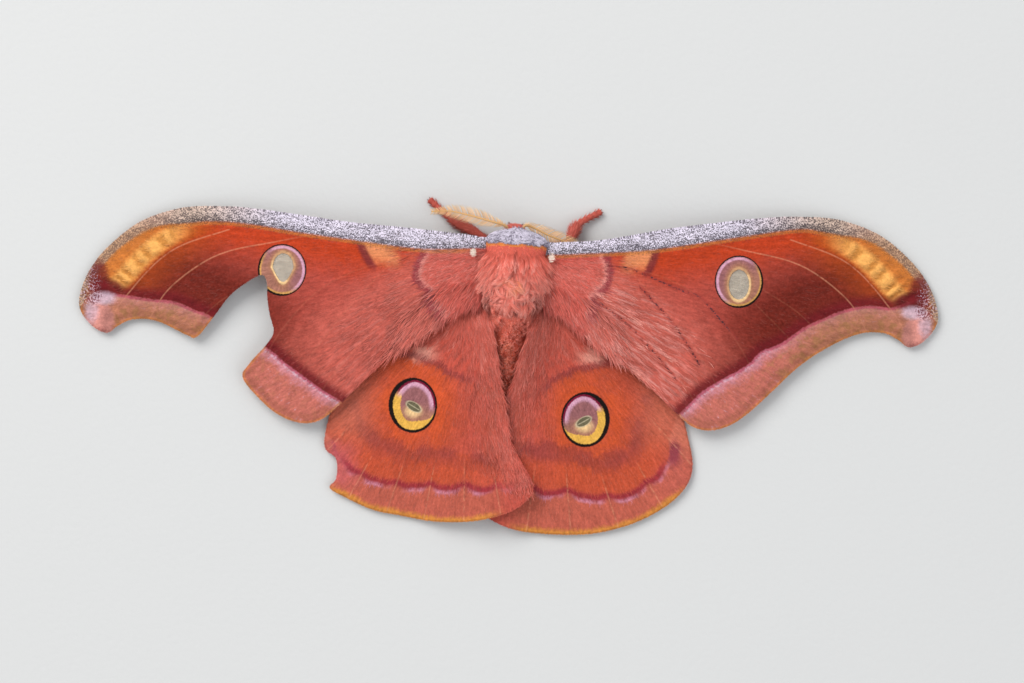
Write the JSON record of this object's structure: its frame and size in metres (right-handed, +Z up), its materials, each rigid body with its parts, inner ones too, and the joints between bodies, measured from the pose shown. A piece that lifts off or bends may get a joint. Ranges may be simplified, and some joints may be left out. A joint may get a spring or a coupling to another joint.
{
  "type": "tussar silk moth",
  "caption": "Large silk moth at rest with brick-red hooked wings spread flat, clear-centred eyespots, furry thorax and feathered feelers.",
  "frame": {"origin": "bottom centre of the whole moth's box, on the floor that its feet stand on", "axes": "+X towards the moth's right wing tip, +Y towards its head, +Z up"},
  "size_m": [0.1498, 0.0584, 0.0126],
  "materials": {
    "wing": "powdery scales, brick red with maroon and lavender lines and ringed eyespots",
    "pink_fur": "long soft fur, salmon pink",
    "red_fur": "short dense fur, brick red",
    "grey_fur": "short fur, lavender grey",
    "antenna": "dull horn, tan yellow",
    "eye": "glossy, near black"
  },
  "bodies": {
    "root": {"abdomen": "red_fur", "antenna_left": "antenna", "antenna_right": "antenna", "collar": "grey_fur", "eye_left": "eye", "eye_right": "eye", "forewing_left": "wing", "forewing_right": "wing", "head": "red_fur", "hindwing_left": "wing", "hindwing_right": "wing", "leg_fore_left": "red_fur", "leg_fore_right": "red_fur", "leg_hind_left": "red_fur", "leg_hind_right": "red_fur", "leg_mid_left": "red_fur", "leg_mid_right": "red_fur", "palp_left": "red_fur", "palp_right": "red_fur", "thorax": "pink_fur"}
  },
  "joints": []
}
